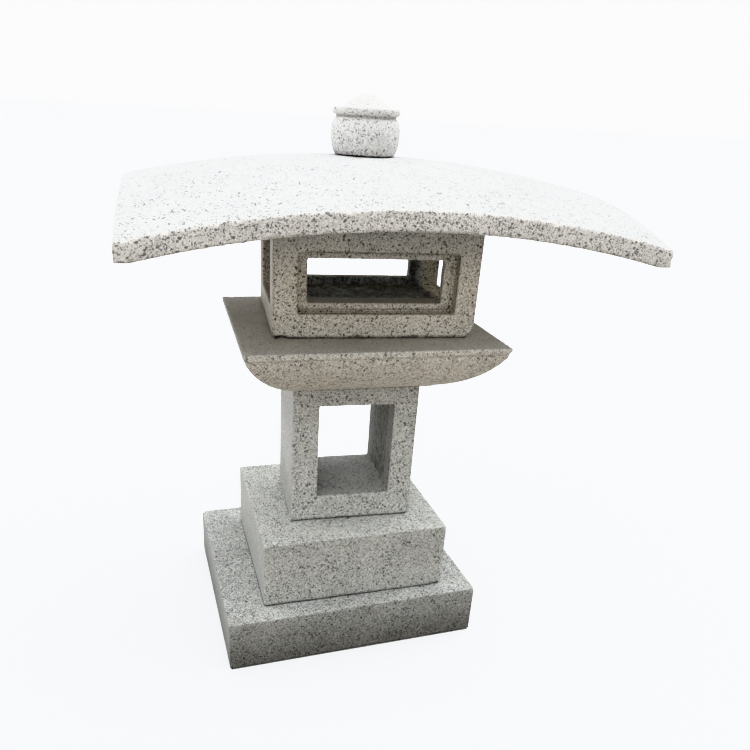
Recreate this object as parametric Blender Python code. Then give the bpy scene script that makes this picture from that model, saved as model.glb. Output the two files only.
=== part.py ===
"""Garden stone lantern of granite: seven stones set dry on one another, held in line by steel dowels.

Units are metres, +Z is up and the front faces -Y. The origin is the middle of the lower base's underside.
Every stone is modelled about the middle of its own bed, and its lift-off axis runs up from that point.
"""
import math

import bmesh
import bpy

# ---------------------------------------------------------------- driving dimensions
JOINT_GAP = 0.0003          # dry joint between two stones
ARRIS = 0.003               # width of the eased edge on sawn stone
ARRIS_STEPS = 2

# width along X, depth along Y, height along Z
LOWER_BASE = (0.600, 0.510, 0.125)
UPPER_BASE = (0.437, 0.398, 0.163)
POST = (0.286, 0.209, 0.332)
PLATFORM = (0.555, 0.468, 0.122)
FIRE_BOX = (0.425, 0.340, 0.233)

# How each stone is laid: shift along X, shift along Y, turn about Z in degrees
LAY = {
    "lower_base": (0.0, 0.0, 0.0),
    "upper_base": (0.0115, -0.0120, -1.3),
    "post": (0.0200, -0.0230, -4.8),
    "platform": (0.0300, -0.0260, -3.2),
    "fire_box": (0.0475, 0.0015, -6.6),
    "roof": (0.0385, -0.0110, -4.5),
    "finial": (0.0320, -0.0180, -4.5),
}

# Opening that runs through the post from front to back
POST_OPENING_LEFT = 0.0600      # stone left standing beside the opening
POST_OPENING_RIGHT = 0.0550
POST_SILL = 0.0640
POST_LINTEL = 0.0430

# Platform: a short upright lip, then a bowed underside that runs in to the post's head
LIP_DROP = 0.024
LIP_INSET = 0.006
UNDERSIDE_INSET = 0.127
UNDERSIDE_BOW = 0.015           # rise of the bow over its chord
UNDERSIDE_STEPS = 8

# Fire box: open-topped hollow block, framed windows front and back, plain windows at the sides
BOX_FLOOR = 0.050
BOX_SIDE_WALL = 0.055
BOX_END_WALL = 0.052
WINDOW_LEFT = -0.1405           # front and back windows, from the block's middle
WINDOW_RIGHT = 0.1445
WINDOW_SILL = 0.0665
WINDOW_HEAD = 0.1555
FRAME_MARGIN = (0.0225, 0.0165)     # recessed frame around a window: beside it, above and below it
FRAME_DEPTH = 0.028
SILL_LEDGE = 0.028              # how much further in the front sill reaches than the end wall over it
SIDE_WINDOW_FRONT = -0.1040
SIDE_WINDOW_BACK = 0.1000
SIDE_WINDOW_SILL = 0.0535
SIDE_WINDOW_HEAD = 0.2000

# Roof: bowed along X, crowned along Y, with a straight barrel underside
ROOF_WIDTH = 0.968
ROOF_DEPTH = 0.783
ROOF_EDGE = 0.036               # thickness at the middle of the front edge
ROOF_CROWN = 0.061              # rise of the ridge above the front edge
UNDERSIDE_RADIUS = 1.980
EDGE_RADIUS = 2.028
RIDGE_RADIUS = 2.200
ROOF_TIP_FLAT = 0.022           # level strip under each end
ROOF_COLUMNS = 24
ROOF_ROWS = 16
ROOF_SEAT_DROP = 0.0145         # flat seat below the crown of the barrel
ROOF_SEAT = (0.500, 0.380)
ROOF_BOSS = (0.280, 0.190, 0.014)   # locating boss that drops into the fire box

# Finial: a round cup with a rim and a low jewel, on a stub tenon
CUP_FOOT_RADIUS = 0.0583
CUP_RADIUS = 0.0708
CUP_WIDEST = 0.0425
CUP_NECK_RADIUS = 0.0575
CUP_NECK = 0.0720
RIM_RADIUS = 0.0686
RIM_BOTTOM = 0.0745
RIM_TOP = 0.0890
RIM_ROUND = 0.0035
JEWEL_RADIUS = 0.0470
JEWEL_TOP = 0.1160
JEWEL_FULLNESS = 0.6            # 0.5 would be round on top, 1.0 a plain cone
FINIAL_SEAT_RADIUS = 0.0620
FINIAL_SEAT_DROP = 0.0022       # flat cut into the roof's crown
TENON_RADIUS = 0.0250
TENON_LENGTH = 0.0280
SOCKET_CLEARANCE = 0.0015
ROUND_STEPS = 48
CUP_STEPS = 5
RIM_STEPS = 3
JEWEL_STEPS = 7

# Dowels: radius, length in the stone below, length in the stone above
DOWELS = {
    "base_dowel": (0.010, 0.040, 0.040),
    "post_foot_dowel": (0.010, 0.040, 0.035),
    "post_head_dowel": (0.008, 0.028, 0.032),
    "fire_box_dowel": (0.008, 0.032, 0.028),
}
DOWEL_STEPS = 24
HOLE_CLEARANCE = 0.0010         # around a dowel in the stone that lifts off it
HOLE_SPARE_DEPTH = 0.0030
DOWEL_CHAMFER = 0.0010

OVERCUT = 0.02                  # how far a cutter runs out of the stone

# Linear colours and roughness
COLOURS = {
    "lower_base": (0.36, 0.37, 0.37),
    "upper_base": (0.40, 0.41, 0.40),
    "post": (0.38, 0.38, 0.36),
    "platform": (0.33, 0.32, 0.28),
    "fire_box": (0.36, 0.33, 0.29),
    "roof": (0.68, 0.68, 0.67),
    "finial": (0.60, 0.60, 0.58),
}
STONE_ROUGHNESS = 0.85
STEEL_COLOUR = (0.55, 0.55, 0.56)
STEEL_ROUGHNESS = 0.35


# ---------------------------------------------------------------- levels worked out from the sizes
def bed_levels():
    """Height of each stone's bed above the ground."""
    levels = {"lower_base": 0.0}
    top = LOWER_BASE[2]
    for name, height in (("upper_base", UPPER_BASE[2]), ("post", POST[2]), ("platform", PLATFORM[2]),
                         ("fire_box", FIRE_BOX[2])):
        levels[name] = top + JOINT_GAP
        top = levels[name] + height
    levels["roof"] = top + JOINT_GAP
    levels["finial"] = levels["roof"] + ROOF_SEAT_DROP + ROOF_EDGE + ROOF_CROWN - FINIAL_SEAT_DROP + JOINT_GAP
    return levels


BEDS = bed_levels()


# ---------------------------------------------------------------- building helpers
def clear_scene():
    for old in list(bpy.data.objects):
        bpy.data.objects.remove(old, do_unlink=True)


def plain_material(name, colour, roughness, metallic):
    material = bpy.data.materials.new(name)
    material.use_nodes = True
    shader = material.node_tree.nodes["Principled BSDF"]
    shader.inputs["Base Color"].default_value = (*colour, 1.0)
    shader.inputs["Roughness"].default_value = roughness
    shader.inputs["Metallic"].default_value = metallic
    return material


def object_from(bm, name):
    bmesh.ops.recalc_face_normals(bm, faces=bm.faces)
    mesh = bpy.data.meshes.new(name)
    bm.to_mesh(mesh)
    bm.free()
    made = bpy.data.objects.new(name, mesh)
    bpy.context.scene.collection.objects.link(made)
    return made


def add_box(bm, low, high):
    """Closed box between two corners."""
    corners = [(x, y, z) for z in (low[2], high[2]) for y in (low[1], high[1]) for x in (low[0], high[0])]
    v = [bm.verts.new(corner) for corner in corners]
    for face in ((0, 2, 3, 1), (4, 5, 7, 6), (0, 1, 5, 4), (2, 6, 7, 3), (0, 4, 6, 2), (1, 3, 7, 5)):
        bm.faces.new([v[i] for i in face])


def add_lathe(bm, profile, steps):
    """Turned solid about Z from (radius, height) points that start and end on the axis."""
    first = bm.verts.new((0.0, 0.0, profile[0][1]))
    last = bm.verts.new((0.0, 0.0, profile[-1][1]))
    rings = []
    for radius, height in profile[1:-1]:
        angles = [2.0 * math.pi * i / steps for i in range(steps)]
        rings.append([bm.verts.new((radius * math.cos(a), radius * math.sin(a), height)) for a in angles])
    for i in range(steps):
        j = (i + 1) % steps
        bm.faces.new((first, rings[0][j], rings[0][i]))
        for lower, upper in zip(rings, rings[1:]):
            bm.faces.new((lower[i], lower[j], upper[j], upper[i]))
        bm.faces.new((last, rings[-1][i], rings[-1][j]))


def add_rod(bm, radius, low, high, steps):
    add_lathe(bm, [(0.0, low), (radius, low), (radius, high), (0.0, high)], steps)


def ease_edges(stone, width=ARRIS):
    bevel = stone.modifiers.new("arris", "BEVEL")
    bevel.width = width
    bevel.segments = ARRIS_STEPS
    bevel.limit_method = "ANGLE"
    bevel.angle_limit = math.radians(40)


def boolean(stone, tool, operation):
    """Cut a tool out of a stone, or join it on; the tool itself is only a guide."""
    tool.display_type = "WIRE"
    tool.hide_render = True
    step = stone.modifiers.new(tool.name, "BOOLEAN")
    step.operation = operation
    step.solver = "EXACT"
    step.object = tool


def box_tool(stone, name, low, high, operation="DIFFERENCE"):
    """Box in the stone's own frame, cut out of it or joined to it."""
    bm = bmesh.new()
    add_box(bm, low, high)
    tool = object_from(bm, name)
    tool.parent = stone
    boolean(stone, tool, operation)


def drill(stone, name, at, radius, low, high, steps=DOWEL_STEPS):
    """Upright round hole at a place in the world, between two heights."""
    bm = bmesh.new()
    add_rod(bm, radius, low, high, steps)
    tool = object_from(bm, name)
    tool.location = (at[0], at[1], 0.0)
    tool.rotation_euler[2] = at[2]
    boolean(stone, tool, "DIFFERENCE")


def standing_place(name):
    """Where a stone's middle stands on plan, and its turn in radians."""
    shift_x, shift_y, turn = LAY[name]
    return shift_x, shift_y, math.radians(turn)


def set_in_place(stone, name):
    shift_x, shift_y, turn = standing_place(name)
    stone.location = (shift_x, shift_y, BEDS[name])
    stone.rotation_euler[2] = turn


def finish_stone(stone, name):
    set_in_place(stone, name)
    stone.data.materials.append(plain_material(name + "_granite", COLOURS[name], STONE_ROUGHNESS, 0.0))
    return stone


def block(name, size):
    """Plain sawn block standing on its bed."""
    width, depth, height = size
    bm = bmesh.new()
    add_box(bm, (-width / 2, -depth / 2, 0.0), (width / 2, depth / 2, height))
    return finish_stone(object_from(bm, name), name)


def arc_drop(radius, x):
    """How far a circular arc falls below its crown at a distance x from the middle."""
    return radius - math.sqrt(radius * radius - x * x)


# ---------------------------------------------------------------- stones
def make_lower_base():
    stone = block("lower_base", LOWER_BASE)
    ease_edges(stone)
    return stone


def make_upper_base():
    stone = block("upper_base", UPPER_BASE)
    ease_edges(stone)
    return stone


def make_post():
    width, depth, height = POST
    stone = block("post", POST)
    low = (-width / 2 + POST_OPENING_LEFT, -depth / 2 - OVERCUT, POST_SILL)
    high = (width / 2 - POST_OPENING_RIGHT, depth / 2 + OVERCUT, height - POST_LINTEL)
    box_tool(stone, "post_opening_cutter", low, high)
    ease_edges(stone)
    return stone


def platform_profile():
    """(inset, height) from the bottom of the platform up to its top edge; the underside is one arc."""
    height = PLATFORM[2]
    run = UNDERSIDE_INSET - LIP_INSET
    rise = height - LIP_DROP
    chord = math.hypot(run, rise)
    radius = chord * chord / (8.0 * UNDERSIDE_BOW) + UNDERSIDE_BOW / 2.0
    half_angle = math.asin(chord / 2.0 / radius)
    points = []
    for i in range(UNDERSIDE_STEPS + 1):
        angle = half_angle * (2.0 * i / UNDERSIDE_STEPS - 1.0)
        along = chord / 2.0 + radius * math.sin(angle)
        out = radius * math.cos(angle) - radius * math.cos(half_angle)
        inset = UNDERSIDE_INSET - (along * run + out * rise) / chord
        points.append((inset, (along * rise - out * run) / chord))
    points.append((0.0, height))
    return points


def make_platform():
    """Slab whose four sides run in below the lip, meeting on mitres."""
    width, depth, _ = PLATFORM
    bm = bmesh.new()
    rings = []
    for inset, height in platform_profile():
        x = width / 2 - inset
        y = depth / 2 - inset
        rings.append([bm.verts.new(corner) for corner in
                      ((-x, -y, height), (x, -y, height), (x, y, height), (-x, y, height))])
    bm.faces.new(rings[0])
    bm.faces.new(rings[-1])
    for lower, upper in zip(rings, rings[1:]):
        for i in range(4):
            j = (i + 1) % 4
            bm.faces.new((lower[i], lower[j], upper[j], upper[i]))
    stone = finish_stone(object_from(bm, "platform"), "platform")
    ease_edges(stone, 0.002)
    return stone


def make_fire_box():
    width, depth, height = FIRE_BOX
    stone = block("fire_box", FIRE_BOX)
    hollow = (width / 2 - BOX_SIDE_WALL, depth / 2 - BOX_END_WALL)
    box_tool(stone, "hollow_cutter", (-hollow[0], -hollow[1], BOX_FLOOR),
             (hollow[0], hollow[1], height + OVERCUT))
    box_tool(stone, "window_cutter", (WINDOW_LEFT, -depth / 2 - OVERCUT, WINDOW_SILL),
             (WINDOW_RIGHT, depth / 2 + OVERCUT, WINDOW_HEAD))
    beside, above = FRAME_MARGIN
    for side, face in (("front", -depth / 2), ("back", depth / 2)):
        near, far = sorted((face + math.copysign(OVERCUT, face), face - math.copysign(FRAME_DEPTH, face)))
        box_tool(stone, side + "_frame_cutter", (WINDOW_LEFT - beside, near, WINDOW_SILL - above),
                 (WINDOW_RIGHT + beside, far, WINDOW_HEAD + above))
    box_tool(stone, "side_window_cutter", (-width / 2 - OVERCUT, SIDE_WINDOW_FRONT, SIDE_WINDOW_SILL),
             (width / 2 + OVERCUT, SIDE_WINDOW_BACK, SIDE_WINDOW_HEAD))
    box_tool(stone, "sill_ledge_guide", (-hollow[0], -hollow[1] - BOX_END_WALL / 4, BOX_FLOOR - BOX_FLOOR / 4),
             (hollow[0], -hollow[1] + SILL_LEDGE, WINDOW_SILL), "UNION")
    ease_edges(stone)
    return stone


def roof_top_height(x, y):
    """Top surface above the barrel's crown: the ridge arc blends into the edge arc by a parabola in y."""
    edge = ROOF_EDGE - arc_drop(EDGE_RADIUS, x)
    ridge = ROOF_EDGE + ROOF_CROWN - arc_drop(RIDGE_RADIUS, x)
    share = (2.0 * y / ROOF_DEPTH) ** 2
    return ridge + (edge - ridge) * share


def roof_underside_height(x):
    """Underside above the barrel's crown: a barrel that ends in a level strip."""
    return -arc_drop(UNDERSIDE_RADIUS, min(abs(x), ROOF_WIDTH / 2 - ROOF_TIP_FLAT))


def make_roof():
    half = ROOF_WIDTH / 2
    barrel_half = half - ROOF_TIP_FLAT
    xs = [-half] + [barrel_half * (2.0 * i / ROOF_COLUMNS - 1.0) for i in range(ROOF_COLUMNS + 1)] + [half]
    ys = [ROOF_DEPTH * (i / ROOF_ROWS - 0.5) for i in range(ROOF_ROWS + 1)]
    crown = ROOF_SEAT_DROP
    bm = bmesh.new()
    top = [[bm.verts.new((x, y, crown + roof_top_height(x, y))) for y in ys] for x in xs]
    under = [[bm.verts.new((x, y, crown + roof_underside_height(x))) for y in (ys[0], ys[-1])] for x in xs]
    for i in range(len(xs) - 1):
        for j in range(ROOF_ROWS):
            bm.faces.new((top[i][j], top[i + 1][j], top[i + 1][j + 1], top[i][j + 1]))
        bm.faces.new((under[i][0], under[i][1], under[i + 1][1], under[i + 1][0]))
        bm.faces.new((under[i][0], under[i + 1][0], top[i + 1][0], top[i][0]))
        bm.faces.new((under[i][1], top[i][-1], top[i + 1][-1], under[i + 1][1]))
    for i in (0, -1):
        bm.faces.new([under[i][0], *top[i], under[i][1]])
    stone = finish_stone(object_from(bm, "roof"), "roof")
    ease_edges(stone)
    seat_x, seat_y = ROOF_SEAT
    box_tool(stone, "roof_seat_guide", (-seat_x / 2, -seat_y / 2, 0.0),
             (seat_x / 2, seat_y / 2, crown + ROOF_EDGE / 2), "UNION")
    boss_x, boss_y, boss_z = ROOF_BOSS
    box_tool(stone, "roof_boss_guide", (-boss_x / 2, -boss_y / 2, -boss_z),
             (boss_x / 2, boss_y / 2, crown + ROOF_EDGE / 3), "UNION")
    place = standing_place("finial")
    bed = BEDS["finial"] - JOINT_GAP
    drill(stone, "finial_seat_cutter", place, FINIAL_SEAT_RADIUS, bed, bed + OVERCUT, ROUND_STEPS)
    drill(stone, "finial_socket_cutter", place, TENON_RADIUS + SOCKET_CLEARANCE,
          bed - TENON_LENGTH - HOLE_SPARE_DEPTH, bed + OVERCUT)
    return stone


def finial_profile():
    """(radius, height) points of the turned outline, from the tenon's end up to the jewel's tip."""
    points = [(0.0, -TENON_LENGTH), (TENON_RADIUS, -TENON_LENGTH), (TENON_RADIUS, 0.0)]
    for i in range(CUP_STEPS + 1):
        turn = math.pi / 2 * i / CUP_STEPS
        points.append((CUP_FOOT_RADIUS + (CUP_RADIUS - CUP_FOOT_RADIUS) * math.sin(turn),
                       CUP_WIDEST * (1.0 - math.cos(turn))))
    for i in range(1, CUP_STEPS + 1):
        turn = math.pi / 2 * i / CUP_STEPS
        points.append((CUP_NECK_RADIUS + (CUP_RADIUS - CUP_NECK_RADIUS) * math.cos(turn),
                       CUP_WIDEST + (CUP_NECK - CUP_WIDEST) * math.sin(turn)))
    points.append((CUP_NECK_RADIUS, RIM_BOTTOM))
    for level, ends in ((RIM_BOTTOM + RIM_ROUND, (-90, 0)), (RIM_TOP - RIM_ROUND, (0, 90))):
        for i in range(RIM_STEPS + 1):
            angle = math.radians(ends[0] + (ends[1] - ends[0]) * i / RIM_STEPS)
            points.append((RIM_RADIUS - RIM_ROUND + RIM_ROUND * math.cos(angle),
                           level + RIM_ROUND * math.sin(angle)))
    for i in range(JEWEL_STEPS + 1):
        below_tip = (1.0 - i / JEWEL_STEPS) ** 1.5
        points.append((JEWEL_RADIUS * below_tip ** JEWEL_FULLNESS,
                       JEWEL_TOP - (JEWEL_TOP - RIM_TOP) * below_tip))
    return points


def make_finial():
    bm = bmesh.new()
    add_lathe(bm, finial_profile(), ROUND_STEPS)
    stone = finish_stone(object_from(bm, "finial"), "finial")
    stone.data.shade_smooth()
    stone.data.set_sharp_from_angle(angle=math.radians(35))
    return stone


# ---------------------------------------------------------------- dowels
def make_dowel(name, below, above, stones):
    """Round steel pin grouted into one stone, with a clearance hole in the stone that lifts off it."""
    radius, length_below, length_above = DOWELS[name]
    place = standing_place(above)
    joint = BEDS[above]
    low = joint - length_below
    high = joint + length_above
    bm = bmesh.new()
    add_lathe(bm, [(0.0, low), (radius, low), (radius, high - DOWEL_CHAMFER),
                   (radius - DOWEL_CHAMFER, high), (0.0, high)], DOWEL_STEPS)
    pin = object_from(bm, name)
    pin.location = (place[0], place[1], 0.0)
    pin.rotation_euler[2] = place[2]
    pin.data.shade_smooth()
    pin.data.set_sharp_from_angle(angle=math.radians(35))
    pin.data.materials.append(plain_material(name + "_steel", STEEL_COLOUR, STEEL_ROUGHNESS, 1.0))
    drill(stones[below], name + "_seat_cutter", place, radius + JOINT_GAP, low - JOINT_GAP, joint + OVERCUT)
    drill(stones[above], name + "_hole_cutter", place, radius + HOLE_CLEARANCE, joint - OVERCUT,
          high + HOLE_SPARE_DEPTH)
    return pin


def build():
    clear_scene()
    stones = {
        "lower_base": make_lower_base(),
        "upper_base": make_upper_base(),
        "post": make_post(),
        "platform": make_platform(),
        "fire_box": make_fire_box(),
        "roof": make_roof(),
        "finial": make_finial(),
    }
    make_dowel("base_dowel", "lower_base", "upper_base", stones)
    make_dowel("post_foot_dowel", "upper_base", "post", stones)
    make_dowel("post_head_dowel", "post", "platform", stones)
    make_dowel("fire_box_dowel", "platform", "fire_box", stones)


build()
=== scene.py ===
"""A granite garden lantern: seven dressed stones standing dry on one another, pinned by steel dowels.

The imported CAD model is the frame. Each stone is cut again here as a dense mesh with worn arrises,
chips and a hammered or sawn face, and gets a granite with its own colour and grain.
Lengths are in metres, and Z is up.
"""

import math
from dataclasses import dataclass, field
from types import SimpleNamespace

import bpy
import numpy as np
from mathutils import Matrix, Vector


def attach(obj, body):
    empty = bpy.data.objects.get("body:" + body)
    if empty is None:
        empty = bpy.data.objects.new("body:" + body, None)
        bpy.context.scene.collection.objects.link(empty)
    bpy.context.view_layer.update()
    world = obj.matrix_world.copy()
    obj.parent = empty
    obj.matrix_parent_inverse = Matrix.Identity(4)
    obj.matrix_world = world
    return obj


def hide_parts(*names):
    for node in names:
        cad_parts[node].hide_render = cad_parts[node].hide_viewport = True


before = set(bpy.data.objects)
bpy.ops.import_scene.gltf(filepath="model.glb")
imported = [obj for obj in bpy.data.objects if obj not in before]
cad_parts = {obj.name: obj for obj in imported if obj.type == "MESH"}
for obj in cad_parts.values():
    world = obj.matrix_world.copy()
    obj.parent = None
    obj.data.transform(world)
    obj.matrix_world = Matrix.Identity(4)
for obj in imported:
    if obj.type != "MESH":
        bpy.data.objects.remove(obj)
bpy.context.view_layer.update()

MM = 0.001


# ---------------------------------------------------------------- stones

@dataclass
class Stone:
    """How one stone is dressed. Faces are named in the stone's own turned frame."""

    name: str
    slot: str
    turn: float                     # degrees about Z, as it stands
    voxel: float                    # edge length of the dressed mesh
    seed: int
    boxy: bool = True               # a squared block, as against a shaped stone
    flat: str = "xyz"               # the axes across which its outermost faces are flat
    arris: float = 0.5              # share of the softened edge that wear has taken off
    soften: int = 2                 # rounds of smoothing that set how wide a worn arris is
    hammer: float = 0.35 * MM       # depth of the hammered texture
    waviness: float = 0.5 * MM      # slow unevenness of a dressed face
    chips: int = 60                 # small chips along the arrises
    chip_size: tuple = (3 * MM, 10 * MM)
    notches: int = 0                # flat breaks along the bottom edge
    undercut: float = 4.0 * MM      # how far the bottom edge is dressed back
    broken: list = field(default_factory=list)   # larger breaks: (corner, radius, depth)
    dents: list = field(default_factory=list)    # single dents: (place, radii)
    sill: float = math.inf          # height just under its sills, above its bed; below it is left rough
    sawn_sides: bool = True         # left and right faces are sawn smooth
    sawn_top: bool = False          # top face is sawn smooth


BOX_SILL = 66 * MM                  # just under the window sills
POST_SILL = 62 * MM                 # just under the floor of the post's opening
POST_DENT = (-18 * MM, 86 * MM, 353.8 * MM)     # on that floor, at its back edge
FINIAL_TENON = 28 * MM              # how far the finial reaches down into the roof

STONES = [
    Stone("lower_base", "granite_plinth", 0.0, 4.0 * MM, 11, chips=70,
          broken=[((-1, 1, 1), 30 * MM, 7 * MM), ((1, -1, 1), 18 * MM, 3 * MM)]),
    Stone("upper_base", "granite_plinth", -1.3, 3.6 * MM, 23, chips=60, notches=5,
          broken=[((1, -1, 1), 16 * MM, 3 * MM)]),
    Stone("post", "granite_post", -4.8, 3.1 * MM, 37, chips=60, notches=6,
          broken=[((-1, -1, -1), 12 * MM, 4 * MM)], dents=[(POST_DENT, (17 * MM, 5 * MM, 5 * MM))],
          sill=POST_SILL),
    Stone("platform", "granite_platform", -3.2, 3.6 * MM, 41, boxy=False, chips=36, undercut=0.0,
          sawn_top=True),
    Stone("fire_box", "granite_fire_box", -6.6, 3.6 * MM, 53, chips=110, notches=18,
          chip_size=(3 * MM, 12 * MM), hammer=0.45 * MM, sill=BOX_SILL,
          broken=[((1, -1, -1), 30 * MM, 13 * MM), ((-1, -1, -1), 14 * MM, 4 * MM)]),
    Stone("roof", "granite_roof", -4.5, 4.6 * MM, 67, boxy=False, flat="xy", chips=120, undercut=0.0,
          sawn_sides=False, waviness=0.8 * MM, broken=[((-1, 1, 1), 40 * MM, 9 * MM)]),
    Stone("finial", "granite_finial", -4.5, 2.0 * MM, 79, boxy=False, flat="", chips=26, soften=3,
          undercut=1.2 * MM, sawn_sides=False, hammer=0.25 * MM, waviness=0.3 * MM,
          chip_size=(2 * MM, 5 * MM)),
]

LATTICE = 32                        # the noise lattice repeats after this many cells

# Cutting: what counts as a flat face of the CAD node, and how far vertices are brought onto it
SQUARE = 0.999                      # how squarely a flat face looks along its axis
SMALLEST_FLAT = 8e-4                # area of the smallest one whose arrises are kept sharp
LEAST_TURN = 0.3                    # how much a vertex must look along the axis to lie on an inner one
INNER_REACH = 0.55                  # in voxels, to an inner face
OUTER_REACH = 0.8                   # in voxels, to an outermost face

# Breaking: scoops, which move vertices out of a ball, and what they leave
EDGE_BAND = 7 * MM                  # an outer arris lies this close to two outermost faces
SHARP = 0.55                        # the least sharpness of an arris that chips
CHIP_DEPTH = (0.15, 0.42)           # in chip radii
BREAK_SCOOPS = 5
BREAK_LEAN = 0.38                   # how widely the scoops of one break are spread
RIM = 6 * MM                        # height of the drawn-in bottom edge
NOTCH_REACH = (7 * MM, 18 * MM)
NOTCH_HEIGHT = (2.2 * MM, 4.2 * MM)

# Masks
WALL = 34 * MM                      # a hollow starts this far behind the faces
FRAME_SHADE_AND_DIRT = 9 * MM                 # painted shade of the frame's lip, with some dirt, on a window frame's ledge lies this close to the face
GAP_SHADOW_BAND = 4 * MM                 # height of the painted shadow band along a stone's bottom edge
CAP = 10 * MM                       # an upward face lower than this under the top is a ledge

# Dressing depths
LEAST_CUT = 0.12 * MM               # everything is cut in by this much
STROKE_DEPTH = 1.4 * MM
LUMP_DEPTH = 5.0 * MM


def smooth_noise(points, cell, seed):
    """Noise from -1 to 1 at each point, with features about one cell wide."""
    values = np.random.default_rng(seed).uniform(-1.0, 1.0, (LATTICE,) * 3)
    scaled = points / cell
    low = np.floor(scaled).astype(int)
    along = scaled - low
    along = along * along * (3.0 - 2.0 * along)
    total = np.zeros(len(points))
    for step in np.ndindex(2, 2, 2):
        step = np.array(step)
        weight = np.prod(np.where(step == 1, along, 1.0 - along), axis=1)
        at = (low + step) % LATTICE
        total += weight * values[at[:, 0], at[:, 1], at[:, 2]]
    return total


def neighbour_mean(values, edges, count):
    """The mean of each vertex's neighbours, for values with one row per vertex."""
    total = np.empty_like(values)
    for column in range(values.shape[1]):
        ends = values[:, column]
        total[:, column] = (
            np.bincount(edges[:, 0], ends[edges[:, 1]], count.size)
            + np.bincount(edges[:, 1], ends[edges[:, 0]], count.size)
        )
    return total / count[:, None]


def smoothed(values, edges, count, rounds):
    """The values after some rounds of taking each vertex's neighbour mean."""
    for _ in range(rounds):
        values = neighbour_mean(values, edges, count)
    return values


def cut_again(stone):
    """A dense even mesh of the stone's CAD node, in the stone's own turned frame."""
    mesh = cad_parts[stone.name].data.copy()
    mesh.transform(Matrix.Rotation(-math.radians(stone.turn), 4, "Z"))
    rough = bpy.data.objects.new(stone.name + "_rough", mesh)
    bpy.context.scene.collection.objects.link(rough)
    remesh = rough.modifiers.new("Remesh", "REMESH")
    remesh.mode = "VOXEL"
    remesh.voxel_size = stone.voxel
    graph = bpy.context.evaluated_depsgraph_get()
    dense = bpy.data.meshes.new_from_object(rough.evaluated_get(graph))
    bpy.data.objects.remove(rough)
    bpy.data.meshes.remove(mesh)
    return dense


def flat_faces(stone):
    """For each axis, where the stone's CAD node has flat faces across it, in its own turned frame."""
    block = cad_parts[stone.name].data.copy()
    block.transform(Matrix.Rotation(-math.radians(stone.turn), 4, "Z"))
    areas = [{}, {}, {}]
    for face in block.polygons:
        for axis in range(3):
            if abs(face.normal[axis]) > SQUARE:
                level = round(face.center[axis], 4)
                areas[axis][level] = areas[axis].get(level, 0.0) + face.area
    corners = read_vectors(block.vertices, "co")
    bpy.data.meshes.remove(block)
    levels = [sorted(at for at, area in found.items() if area > SMALLEST_FLAT) for found in areas]
    return levels, corners.min(axis=0), corners.max(axis=0)


def square_up(stone, mesh, levels, low, high):
    """Puts the vertices beside each flat face exactly on it, so the cut arrises are whole again."""
    start = read_vectors(mesh.vertices, "co")
    normals = read_vectors(mesh.vertex_normals, "vector")
    points = start.copy()
    for axis in ("xyz".index(letter) for letter in stone.flat):
        turned = np.abs(normals[:, axis]) > LEAST_TURN
        for level in levels[axis] if stone.boxy else ():
            beside = turned & (np.abs(start[:, axis] - level) < INNER_REACH * stone.voxel)
            points[beside, axis] = level
        for level in (low[axis], high[axis]):
            beside = np.abs(start[:, axis] - level) < OUTER_REACH * stone.voxel
            points[beside, axis] = level
    mesh.vertices.foreach_set("co", points.astype(np.float32).ravel())
    mesh.update()


def read_vectors(collection, attribute):
    """One vector attribute of a mesh, as an array with a row per vertex."""
    flat = np.empty(len(collection) * 3, np.float32)
    collection.foreach_get(attribute, flat)
    return flat.reshape(-1, 3).astype(float)


def scoop(points, centre, radii):
    """Moves every point inside the ellipsoid out to its surface, away from the ellipsoid's middle."""
    offset = (points - centre) / radii
    distance = np.linalg.norm(offset, axis=1)
    inside = (distance < 1) & (distance > 1e-3)
    points[inside] = centre + radii * offset[inside] / distance[inside][:, None]


def chip_arrises(stone, points, normals, skin, rng):
    """Small conchoidal chips, most of them small, at random places along the sharp edges."""
    edge = np.flatnonzero((skin.arris > SHARP) & skin.outer)
    smallest, largest = stone.chip_size
    for at in rng.choice(edge, stone.chips):
        radius = smallest + (largest - smallest) * rng.random() ** 3
        depth = radius * rng.uniform(*CHIP_DEPTH)
        scoop(points, points[at] + normals[at] * (radius - depth), radius)


def break_corners(stone, points, rng):
    """The stone's few larger breaks, each a cluster of scoops at one corner."""
    low = points.min(axis=0)
    high = points.max(axis=0)
    middle = (low + high) / 2
    for corner, radius, depth in stone.broken:
        outward = np.array(corner, float)
        tip = middle + outward * (high - low) / 2
        outward /= np.linalg.norm(outward)
        for _ in range(BREAK_SCOOPS):
            size = radius * rng.uniform(0.6, 1.0)
            lean = outward + rng.normal(0, BREAK_LEAN, 3)
            lean /= np.linalg.norm(lean)
            scoop(points, tip + lean * (size - depth * rng.uniform(0.5, 1.0)), size)


def press_dents(stone, points, skin):
    """The stone's single dents, darkened with painted shade."""
    for place, radii in stone.dents:
        before = points.copy()
        scoop(points, np.array(place), np.array(radii))
        # Painted shade darkens the dent.
        skin.joint[np.linalg.norm(points - before, axis=1) > 0.5 * MM] = 0.9


def dress_bottom_edge(stone, points, skin, rng):
    """Draws the bottom edge in all round, and breaks flat notches out of it."""
    floor = points[:, 2].min()
    above = points[:, 2] - floor
    rim = skin.side * np.clip(1 - above / RIM, 0, 1)
    uneven = 0.7 + 0.3 * smooth_noise(points, 26 * MM, stone.seed + 6)
    points[:, :2] -= skin.outward * (stone.undercut * rim * uneven)[:, None]
    edge = np.flatnonzero((skin.side > 0.5) & (above < 4 * MM))
    for at in rng.choice(edge, stone.notches):
        reach = rng.uniform(*NOTCH_REACH)
        radii = np.array([reach, reach, rng.uniform(*NOTCH_HEIGHT)])
        centre = points[at].copy()
        centre[:2] += 0.3 * reach * skin.outward[at]
        before = points.copy()
        scoop(points, centre, radii)
        # Painted shadow darkens each notch, as a gap under the stone.
        skin.joint[np.linalg.norm(points - before, axis=1) > 1.0 * MM] = 1.0


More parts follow.
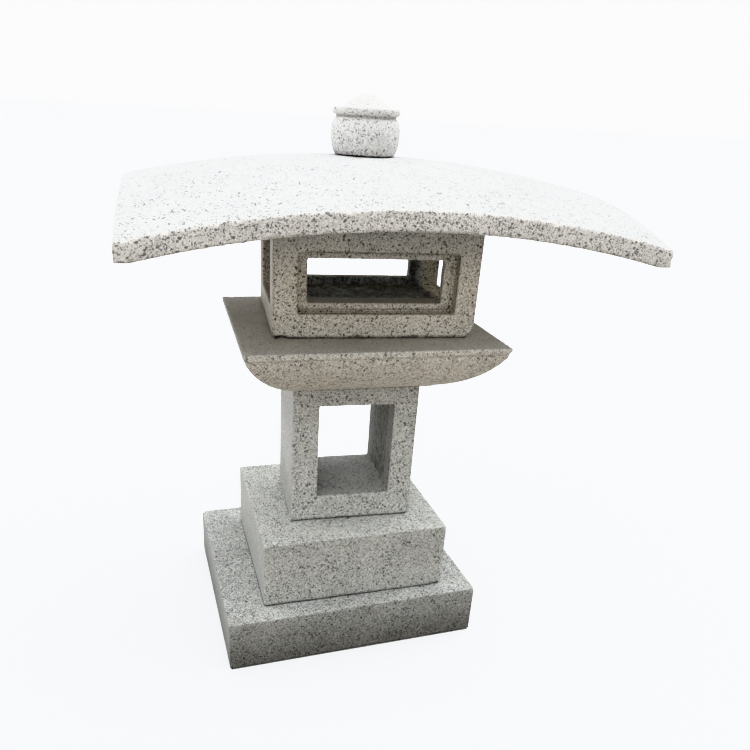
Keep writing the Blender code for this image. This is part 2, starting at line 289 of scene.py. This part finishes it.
class Skin(SimpleNamespace):
    """What each vertex of one stone is: masks from 0 to 1, and outward, the level way it faces."""


def read_skin(stone, points, normals, soft):
    """What each vertex belongs to: an arris, a corner, a sawn face, a hollow, a sill or floor."""
    low = points.min(axis=0)
    high = points.max(axis=0)
    gap = np.minimum(points - low, high - points)
    above = points[:, 2] - low[2]
    below = high[2] - points[:, 2]
    depth = gap[:, :2].min(axis=1)
    pull = ((points - soft) * normals).sum(axis=1) / (0.30 * stone.voxel * math.sqrt(stone.soften))

    # Which way each vertex looks: level and outward, in towards the stone's middle, or up.
    away = (points - (low + high) / 2)[:, :2]
    away /= np.maximum(np.linalg.norm(away, axis=1), 1e-6)[:, None]
    level = normals[:, :2]
    length = np.linalg.norm(level, axis=1)
    facing_in = np.clip((-(level * away).sum(axis=1) - 0.15) / 0.3, 0, 1)
    facing_up = np.clip((normals[:, 2] - 0.6) / 0.3, 0, 1)
    skin = Skin(arris=np.clip(pull, 0, 1), recess=np.clip(-pull, 0, 1), top=facing_up)
    skin.outward = level / np.maximum(length, 1e-6)[:, None]
    skin.side = np.clip((length - 0.3) / 0.3, 0, 1) * (1 - facing_in)
    skin.outer = np.ones(len(points), bool)
    if stone.boxy:
        skin.outer = (gap < EDGE_BAND).sum(axis=1) >= 2

    # Hollows: openings and the fire box's inside, with their floors, sills and frame ledges.
    inside = np.clip((depth - WALL) / (14 * MM), 0, 1)
    on_sill = facing_up * (above > stone.sill - 3 * MM)
    # Painted shade of the frame's lip, with some dirt, on the ledge near the face.
    near_face = np.clip(2 - depth / FRAME_SHADE_AND_DIRT, 0, 1)
    ledge = facing_up * np.clip((below - CAP) / (5 * MM), 0, 1) * stone.boxy
    ledge *= np.maximum(np.maximum(inside, on_sill), near_face)
    skin.hollow = np.maximum(facing_in, ledge)
    skin.deep = skin.hollow * inside * (1 - on_sill)
    # Painted shadow: a dark band along the bottom edge, over the gap under the stone.
    skin.joint = skin.side * np.clip(1.5 - above / GAP_SHADOW_BAND, 0, 1) * (stone.undercut > 0)

    sawn = np.zeros(len(points))
    if stone.sawn_sides:
        sawn = np.maximum(sawn, np.clip((np.abs(normals[:, 0]) - 0.75) / 0.2, 0, 1))
    if stone.sawn_top:
        sawn = np.maximum(sawn, np.clip((normals[:, 2] - 0.75) / 0.2, 0, 1))
    skin.sawn = np.maximum(sawn * (1 - skin.hollow), on_sill * skin.hollow)
    skin.hollow *= 1 - 0.5 * on_sill
    return skin


def dress(stone):
    """Cuts, wears, chips and textures one stone, and puts it in the frame over its CAD node."""
    mesh = cut_again(stone)
    levels, low, high = flat_faces(stone)
    square_up(stone, mesh, levels, low, high)
    rng = np.random.default_rng(stone.seed)
    points = read_vectors(mesh.vertices, "co")
    normals = read_vectors(mesh.vertex_normals, "vector")
    edges = np.empty(len(mesh.edges) * 2, np.int32)
    mesh.edges.foreach_get("vertices", edges)
    edges = edges.reshape(-1, 2)
    count = np.bincount(edges.ravel(), minlength=len(points)).astype(float)
    soft = smoothed(points, edges, count, stone.soften)
    skin = read_skin(stone, points, normals, soft)

    # Arrises worn by an uneven amount along their length, and less around openings than outside.
    uneven = 0.5 + 0.5 * smooth_noise(points, 22 * MM, stone.seed + 1)
    wear = stone.arris * (0.35 + 0.65 * uneven) * (skin.arris > 0.02)
    points += (soft - points) * np.where(skin.outer, wear, 0.3 * wear)[:, None]

    break_corners(stone, points, rng)
    chip_arrises(stone, points, normals, skin, rng)
    dress_bottom_edge(stone, points, skin, rng)
    press_dents(stone, points, skin)

    # Dressed faces: slow waviness, then hammer pits, all cut inward from the CAD face.
    slow = 0.5 + 0.5 * smooth_noise(points, 95 * MM, stone.seed + 2)
    middle = 0.5 + 0.5 * smooth_noise(points, 28 * MM, stone.seed + 3)
    pits = np.clip(smooth_noise(points, 9 * MM, stone.seed + 4) + 0.25, 0, 1)
    rough = (1 - 0.8 * skin.sawn) * (1 - 0.6 * skin.hollow)
    depth = stone.waviness * (0.6 * slow + 0.4 * middle) * (0.3 + 0.7 * rough)
    depth += stone.hammer * pits * rough

    # Long chisel strokes deep in the hollows, and lumps on their floors, which nobody dressed finely.
    stretched = points * np.array([1.0, 0.22, 0.6])
    strokes = np.abs(smooth_noise(stretched, 13 * MM, stone.seed + 5))
    lumps = np.clip(smooth_noise(points, 26 * MM, stone.seed + 7) + 0.2, 0, 1)
    depth += skin.deep * (STROKE_DEPTH * strokes + LUMP_DEPTH * lumps * skin.top)
    points -= normals * (LEAST_CUT + depth)[:, None]
    np.clip(points, low, high, out=points)

    turned = Matrix.Rotation(math.radians(stone.turn), 3, "Z")
    points = points @ np.array(turned).T
    mesh.vertices.foreach_set("co", points.astype(np.float32).ravel())
    for name in ("arris", "recess", "sawn", "hollow", "deep", "joint", "top"):
        layer = mesh.attributes.new(name, "FLOAT", "POINT")
        layer.data.foreach_set("value", getattr(skin, name).astype(np.float32))
    mesh.update()
    mesh.shade_smooth()
    mesh.name = stone.name + "_stone"
    piece = bpy.data.objects.new(stone.name + "_stone", mesh)
    bpy.context.scene.collection.objects.link(piece)
    return piece


# ---------------------------------------------------------------- materials

class Graph:
    """A material's node tree, with a short way to add nodes and links."""

    def __init__(self, name):
        self.material = bpy.data.materials.new(name)
        self.material.use_nodes = True
        self.tree = self.material.node_tree
        self.shader = self.tree.nodes["Principled BSDF"]

    def feed(self, socket, value):
        if isinstance(value, bpy.types.NodeSocket):
            self.tree.links.new(value, socket)
        else:
            socket.default_value = value

    def add(self, kind, output, inputs, **settings):
        made = self.tree.nodes.new(kind)
        for key, value in settings.items():
            setattr(made, key, value)
        for key, value in inputs.items():
            self.feed(made.inputs[key], value)
        return made.outputs[output]

    def math(self, operation, first, second=0.0, clamp=False):
        return self.add("ShaderNodeMath", 0, {0: first, 1: second}, operation=operation, use_clamp=clamp)

    def between(self, value, low, high, to_low=0.0, to_high=1.0):
        names = {"Value": value, "From Min": low, "From Max": high, "To Min": to_low, "To Max": to_high}
        return self.add("ShaderNodeMapRange", 0, names, clamp=True)

    def mix(self, share, first, second, blend="MIX"):
        return self.add("ShaderNodeMix", 2, {0: share, 6: first, 7: second},
                        data_type="RGBA", blend_type=blend)

    def noise(self, place, scale, detail=2.0, roughness=0.5, output="Fac"):
        return self.add("ShaderNodeTexNoise", output,
                        {"Vector": place, "Scale": scale, "Detail": detail, "Roughness": roughness})

    def cells(self, place, size, output="Color"):
        return self.add("ShaderNodeTexVoronoi", output, {"Vector": place, "Scale": 1 / size})

    def ramp(self, share, stops, interpolation="LINEAR"):
        made = self.tree.nodes.new("ShaderNodeValToRGB")
        made.color_ramp.interpolation = interpolation
        elements = made.color_ramp.elements
        while len(elements) < len(stops):
            elements.new(0.5)
        for element, (position, colour) in zip(elements, stops):
            element.position = position
            element.color = (*colour, 1.0)
        self.feed(made.inputs[0], share)
        return made.outputs[0]

    def attribute(self, name):
        return self.add("ShaderNodeAttribute", "Fac", {}, attribute_name=name)


MICA_SHOW = 0.82                    # how much of its black a mica crystal shows
FLAT_TONE = 0.76                    # a hammered face's mean tone, against its feldspar
SHADE_AND_DIRT_TONE = 0.035                        # how light the painted shade and dirt are


def grey(value, warmth=0.0):
    """A stone grey, warmer (browner) above 0 and cooler below."""
    return (value * (1 + 0.6 * warmth), value, value * (1 - warmth))


def granite(name, light, warmth=0.0, flecks=0.13, grain=1.9 * MM, contrast=0.65, sawn_tone=0.85,
            sawn_share=0.72, shade_and_soot=0.55, moss=0.0, shade=0.0, dust_and_sky_tint=0.0, height_shade=None, foot=None):
    """Hammered biotite granite: pale feldspar and grey quartz crystals, with dark mica flecks.

    light and warmth are its grey, flecks the share of mica, and contrast that of the pale crystals.
    sawn_tone and sawn_share say how dark and how plain a sawn face is. soot darkens the hollows with
    painted shade and a little smoke stain, moss greens the stone, shade paints a cooler shade tint into
    the deep hollows, and rain darkens the upward faces as dust and paints them cooler as sky light.
    grime paints shade over a band of heights: one where it is unshaded, one where it is darkest, a
    strength and a warmth. foot is the height of the dry bed under the stone, with a thin painted
    shadow just above it.
    """
    graph = Graph(name)
    place = graph.add("ShaderNodeTexCoord", "Object", {})
    warp = graph.noise(place, 330.0, 2.0, 0.6, "Color")
    warp = graph.add("ShaderNodeVectorMath", 0, {0: warp, 1: (0.5, 0.5, 0.5)}, operation="SUBTRACT")
    warp = graph.add("ShaderNodeVectorMath", 0, {0: warp, "Scale": 1.3 * grain}, operation="SCALE")
    warped = graph.add("ShaderNodeVectorMath", 0, {0: place, 1: warp}, operation="ADD")

    crystals = graph.add("ShaderNodeSeparateColor", 0, {0: graph.cells(warped, grain)}).node
    large = graph.add("ShaderNodeSeparateColor", 0, {0: graph.cells(warped, 2.0 * grain)}).node

    quartz = grey(light * (1 - 0.40 * contrast), warmth)
    feldspar = grey(light, warmth)
    white = grey(min(light * (1 + 0.34 * contrast), 0.94), 0.6 * warmth)
    mica = grey(0.03, warmth)
    pale = graph.ramp(crystals.outputs[0], [(0.0, quartz), (0.35, quartz), (0.5, feldspar),
                                            (0.7, feldspar), (0.85, white)])

    sawn = graph.attribute("sawn")
    hollow = graph.attribute("hollow")
    deep = graph.attribute("deep")
    arris = graph.attribute("arris")
    recess = graph.attribute("recess")

    # Mica: some crystals of the even grain, and fewer of a larger one.
    patchy = graph.between(graph.noise(place, 30.0, 2.0), 0.35, 0.65, 0.7, 1.3)
    share = graph.math("MULTIPLY", patchy, flecks)
    even = graph.between(graph.math("SUBTRACT", share, crystals.outputs[1]), -0.01, 0.02)
    share = graph.math("MULTIPLY", patchy, 0.45 * flecks)
    big = graph.between(graph.math("SUBTRACT", share, large.outputs[1]), -0.01, 0.02)
    dark = graph.math("MAXIMUM", even, big)
    colour = graph.mix(graph.math("MULTIPLY", dark, MICA_SHOW), pale, (*mica, 1.0))

    # A sawn face reads as one soft tone, a little darker than a hammered one.
    flat = (*grey(sawn_tone * FLAT_TONE * light, 0.7 * warmth), 1.0)
    stained = graph.noise(place, 6.0, 3.0, 0.6)
    smoother = graph.between(stained, 0.35, 0.65, 0.65 * sawn_share, sawn_share)
    colour = graph.mix(graph.math("MULTIPLY", sawn, smoother), colour, flat)

    # Slow drift of tone, moss and rust over the stone, and bruised pale arrises.
    drift = graph.between(graph.noise(place, 7.0, 3.0, 0.55), 0.3, 0.7, 0.91, 1.07)
    fine = graph.between(graph.noise(place, 900.0, 2.0, 0.6), 0.3, 0.7, 0.90, 1.10)
    tone = graph.math("MULTIPLY", drift, fine)
    mossy = graph.math("MULTIPLY", tone, 1 + moss)
    tone = graph.add("ShaderNodeCombineColor", 0, {0: tone, 1: mossy, 2: tone})
    colour = graph.mix(1.0, colour, tone, "MULTIPLY")
    rust = graph.between(graph.noise(place, 13.0, 4.0, 0.6), 0.54, 0.75, 0.0, 0.16)
    colour = graph.mix(rust, colour, (*grey(0.7 * light, 0.18), 1.0))
    bruise = graph.math("MULTIPLY", arris, graph.between(graph.noise(place, 60.0), 0.4, 0.7, 0.05, 0.40))
    colour = graph.mix(bruise, colour, (*grey(min(1.05 * light, 0.85), 0.4 * warmth), 1.0))

    # Painted shade, with some dirt and soot: darker in concave corners, on sills and ledges, deep in the
    # hollows, and in a band above each stone's bed.
    mottled = graph.between(graph.noise(place, 42.0, 4.0, 0.6), 0.3, 0.7, 0.75, 1.0)
    patches = graph.between(graph.noise(place, 55.0, 4.0, 0.65), 0.38, 0.62, 0.6 * shade_and_soot, shade_and_soot)
    # Painted shade in the concave corners.
    corner_shade = graph.math("MULTIPLY", recess, 0.6)
    # Painted shade in the hollows and on their ledges, with a little smoke stain.
    hollow_shade_and_soot = graph.math("MULTIPLY", hollow, 0.55 * shade_and_soot)
    shade_and_dirt = graph.math("MAXIMUM", corner_shade, hollow_shade_and_soot)
    # Painted shade in patches deep in the hollows.
    shade_and_dirt = graph.math("MAXIMUM", shade_and_dirt, graph.math("MULTIPLY", deep, patches))
    # Painted shadow along the bottom edge, in the notches and in the dents.
    shade_and_dirt = graph.math("MAXIMUM", shade_and_dirt, graph.math("MULTIPLY", graph.attribute("joint"), 0.85))
    level = graph.add("ShaderNodeSeparateXYZ", "Z", {0: place})
    if foot is not None:
        # Painted shadow in a thin ragged band just above the stone's bed.
        ragged = graph.noise(place, 120.0, 3.0, 0.6)
        ragged = graph.between(ragged, 0.3, 0.7, foot + 1.2 * MM, foot + 3.6 * MM)
        bed_shadow = graph.between(graph.math("SUBTRACT", level, ragged), -0.5 * MM, 0.5 * MM, 0.93, 0.0)
        bed_shadow = graph.math("MULTIPLY", bed_shadow, graph.between(level, foot - 1.5 * MM, foot - 0.5 * MM))
        shade_and_dirt = graph.math("MAXIMUM", shade_and_dirt, bed_shadow)
    colour = graph.mix(graph.math("MULTIPLY", shade_and_dirt, mottled), colour, (*grey(SHADE_AND_DIRT_TONE, 0.02), 1.0))
    if shade:
        # Painted shade: the deep hollows are tinted a cooler grey than the faces.
        colour = graph.mix(graph.math("MULTIPLY", deep, shade), colour, (0.90, 0.97, 1.08, 1.0), "MULTIPLY")
    if dust_and_sky_tint:
        # Dust darkens the upward faces, and a painted cool tint on them stands in for the sky's light.
        colour = graph.mix(graph.math("MULTIPLY", graph.attribute("top"), dust_and_sky_tint), colour,
                           (0.78, 0.81, 0.84, 1.0), "MULTIPLY")
    if height_shade:
        # Painted shade over a band of heights, such as darker towards the ground and under the eaves.
        unshaded_at, darkest_at, strength, hue = height_shade
        ragged = graph.math("MULTIPLY_ADD", graph.noise(place, 16.0, 3.0, 0.6), 0.07)
        ragged.node.inputs[2].default_value = -0.035
        painted_darkening = graph.between(graph.math("ADD", level, ragged), unshaded_at, darkest_at, 0.0, strength)
        colour = graph.mix(painted_darkening, colour, (*grey(0.22, hue), 1.0), "MULTIPLY")
    graph.feed(graph.shader.inputs["Base Color"], colour)

    # Mica glints a little, and a sawn face is smoother than a hammered one.
    dull = graph.between(sawn, 0.0, 1.0, 0.88, 0.72)
    glint = graph.math("MULTIPLY", dark, 0.25)
    graph.feed(graph.shader.inputs["Roughness"], graph.math("SUBTRACT", dull, glint))
    graph.shader.inputs["Specular IOR Level"].default_value = 0.3

    # Hammer pits and the broken surface of the crystals.
    pits = graph.add("ShaderNodeTexVoronoi", "Distance", {"Vector": warped, "Scale": 1 / (2.2 * grain)})
    grit = graph.noise(place, 520.0, 3.0, 0.65)
    height = graph.math("ADD", graph.math("MULTIPLY", pits, 0.5), graph.math("MULTIPLY", grit, 0.9))
    height = graph.math("SUBTRACT", height, graph.math("MULTIPLY", dark, 0.3))
    relief = graph.between(sawn, 0.0, 1.0, 0.75, 0.22)
    bump = graph.add("ShaderNodeBump", 0, {"Strength": relief, "Distance": 0.9 * MM, "Height": height})
    graph.feed(graph.shader.inputs["Normal"], bump)
    return graph.material


def dowel_steel():
    """Bright drawn steel bar, dulled by handling and by a little rust bloom."""
    graph = Graph("drawn_steel")
    place = graph.add("ShaderNodeTexCoord", "Object", {})
    drawn = graph.add("ShaderNodeMapping", 0, {"Vector": place, "Scale": (900.0, 900.0, 30.0)})
    lines = graph.noise(drawn, 1.0, 3.0, 0.6)
    bloom = graph.between(graph.noise(place, 95.0, 4.0, 0.6), 0.55, 0.72)
    colour = graph.ramp(lines, [(0.25, grey(0.36)), (0.75, grey(0.56))])
    colour = graph.mix(graph.math("MULTIPLY", bloom, 0.55), colour, (0.16, 0.085, 0.045, 1.0))
    graph.feed(graph.shader.inputs["Base Color"], colour)
    graph.feed(graph.shader.inputs["Metallic"], graph.between(bloom, 0.0, 1.0, 1.0, 0.45))
    rough = graph.between(lines, 0.3, 0.7, 0.30, 0.48)
    rusty = graph.math("MULTIPLY", bloom, 0.3)
    graph.feed(graph.shader.inputs["Roughness"], graph.math("ADD", rough, rusty, True))
    bump = graph.add("ShaderNodeBump", 0, {"Strength": 0.25, "Distance": 0.1 * MM, "Height": lines})
    graph.feed(graph.shader.inputs["Normal"], bump)
    return graph.material


def bed(name):
    """How high a stone's CAD node starts: at the stone under it, or at the end of its tenon."""
    return min(vertex.co.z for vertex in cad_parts[name].data.vertices)


GRANITES = {
    # Painted shade: the lower base gets darker towards the ground.
    "lower_base": granite("plinth_granite_lower", 0.42, 0.03, contrast=0.9, moss=0.03,
                          height_shade=(0.17, 0.02, 0.82, 0.05)),
    "upper_base": granite("plinth_granite_upper", 0.46, 0.04, contrast=0.8, sawn_tone=0.76,
                          sawn_share=0.5, moss=0.03, foot=bed("upper_base")),
    "post": granite("post_granite", 0.58, 0.04, flecks=0.16, sawn_tone=0.48, sawn_share=0.5, shade_and_soot=0.80,
                    moss=0.025, foot=bed("post")),
    "platform": granite("platform_granite", 0.67, 0.10, sawn_tone=0.78, moss=0.01,
                        foot=bed("platform")),
    # Painted shade: the fire box gets darker towards its top, under the eaves.
    "fire_box": granite("fire_box_granite", 0.79, 0.12, sawn_tone=0.70, shade_and_soot=0.80, moss=0.01, shade=1.0,
                        height_shade=(0.85, 1.0, 0.56, -0.9), foot=bed("fire_box")),
    # Painted light: the roof's upward faces get a cool tint for the sky's light, besides dust.
    "roof": granite("roof_granite", 0.66, 0.06, flecks=0.18, grain=1.8 * MM, contrast=0.45, dust_and_sky_tint=1.0),
    "finial": granite("finial_granite", 0.64, 0.03, flecks=0.10, grain=1.7 * MM, contrast=0.45,
                      foot=bed("finial") + FINIAL_TENON),
}

for stone in STONES:
    piece = dress(stone)
    piece.data.materials.clear()
    piece.data.materials.append(GRANITES[stone.name])
    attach(piece, stone.name)
    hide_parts(stone.name)

steel = dowel_steel()
for name in ("base_dowel", "post_foot_dowel", "post_head_dowel", "fire_box_dowel"):
    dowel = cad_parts[name]
    for material_slot in dowel.material_slots:
        material_slot.material = steel


# ---------------------------------------------------------------- floor, light and camera

FLOOR_RADIUS = 400.0
FLOOR_CORNERS = 96
SKY = (0.84, 0.85, 0.87)
BACKDROP = (2.6, 2.6, 2.6)          # the plain white that the camera sees behind the floor
GROUND = (0.55, 0.50, 0.44)
# Soft lamps, each by its compass angle from the front, clockwise as seen from above, its height over
# the horizon, both in degrees, and its strength
LAMPS = {
    "right": (-96.0, 62.0, 4.3),
    "back": (150.0, 65.0, 1.7),
    "left": (90.0, 52.0, 0.8),
    "front": (48.0, 62.0, 1.7),
}
LAMP_SPREAD = 50.0                  # degrees
LAMP_COLOUR = (0.98, 1.0, 1.02)

CAMERA_PLACE = (-0.4612, -1.4931, 1.1597)
CAMERA_ANGLES = (0.3235, 0.4378, 0.0562)    # radians: turned right, tipped down, rolled
CAMERA_SHIFT = (0.0353, 0.0917)
SENSOR_WIDTH = 36.0
FOCAL_LENGTH = 33.665


def add_floor():
    """A wide round floor. The stones are lit by the ground's own dull tone, not by its pale colour."""
    mesh = bpy.data.meshes.new("floor")
    turns = [math.tau * i / FLOOR_CORNERS for i in range(FLOOR_CORNERS)]
    ring = [(FLOOR_RADIUS * math.cos(turn), FLOOR_RADIUS * math.sin(turn), 0.0) for turn in turns]
    mesh.from_pydata(ring, [], [list(range(FLOOR_CORNERS))])
    floor = bpy.data.objects.new("floor", mesh)
    bpy.context.scene.collection.objects.link(floor)
    graph = Graph("pale_floor")
    graph.shader.inputs["Base Color"].default_value = (0.90, 0.90, 0.90, 1.0)
    graph.shader.inputs["Roughness"].default_value = 0.9
    mesh.materials.append(graph.material)
    floor.visible_diffuse = False


def add_sky():
    """A plain sky over dull ground for the light, and a plain white backdrop for the camera."""
    world = bpy.data.worlds.new("sky")
    world.use_nodes = True
    tree = world.node_tree
    direction = tree.nodes.new("ShaderNodeTexCoord")
    height = tree.nodes.new("ShaderNodeSeparateXYZ")
    ramp = tree.nodes.new("ShaderNodeValToRGB")
    # The ramp runs from straight down, 0, to straight up, 1, with the horizon at a half.
    for element, position, colour in zip(ramp.color_ramp.elements, (0.48, 0.52), (GROUND, SKY)):
        element.position = position
        element.color = (*colour, 1.0)
    share = tree.nodes.new("ShaderNodeMapRange")
    share.inputs["From Min"].default_value = -1.0
    tree.links.new(direction.outputs["Generated"], height.inputs[0])
    tree.links.new(height.outputs["Z"], share.inputs["Value"])
    tree.links.new(share.outputs[0], ramp.inputs[0])
    seen = tree.nodes.new("ShaderNodeMix")
    seen.data_type = "RGBA"
    seen.inputs[7].default_value = (*BACKDROP, 1.0)
    tree.links.new(tree.nodes.new("ShaderNodeLightPath").outputs["Is Camera Ray"], seen.inputs[0])
    tree.links.new(ramp.outputs[0], seen.inputs[6])
    tree.links.new(seen.outputs[2], tree.nodes["Background"].inputs["Color"])
    bpy.context.scene.world = world


def add_lamps():
    """Broad soft suns, one for each of LAMPS."""
    for name, (compass, height, strength) in LAMPS.items():
        compass = math.radians(compass)
        height = math.radians(height)
        toward = Vector((-math.sin(compass) * math.cos(height), -math.cos(compass) * math.cos(height),
                         math.sin(height)))
        lamp = bpy.data.lights.new(name, "SUN")
        lamp.energy = strength
        lamp.color = LAMP_COLOUR
        lamp.angle = math.radians(LAMP_SPREAD)
        holder = bpy.data.objects.new(name, lamp)
        holder.rotation_euler = toward.to_track_quat("Z", "Y").to_euler()
        bpy.context.scene.collection.objects.link(holder)


def add_camera():
    """A camera at the height of the finial, in front and to the left, tipped down and slightly rolled."""
    yaw, pitch, roll = CAMERA_ANGLES
    forward = Vector((math.sin(yaw) * math.cos(pitch), math.cos(yaw) * math.cos(pitch), -math.sin(pitch)))
    level = Vector((math.cos(yaw), -math.sin(yaw), 0.0))
    upward = level.cross(forward)
    right = math.cos(roll) * level + math.sin(roll) * upward
    up = -math.sin(roll) * level + math.cos(roll) * upward
    data = bpy.data.cameras.new("camera")
    data.sensor_width = SENSOR_WIDTH
    data.lens = FOCAL_LENGTH
    data.shift_x, data.shift_y = CAMERA_SHIFT
    camera = bpy.data.objects.new("camera", data)
    turn = Matrix((right, up, -forward)).transposed().to_4x4()
    camera.matrix_world = Matrix.Translation(CAMERA_PLACE) @ turn
    bpy.context.scene.collection.objects.link(camera)
    bpy.context.scene.camera = camera


add_floor()
add_sky()
add_lamps()
add_camera()
bpy.context.scene.view_settings.view_transform = "Khronos PBR Neutral"
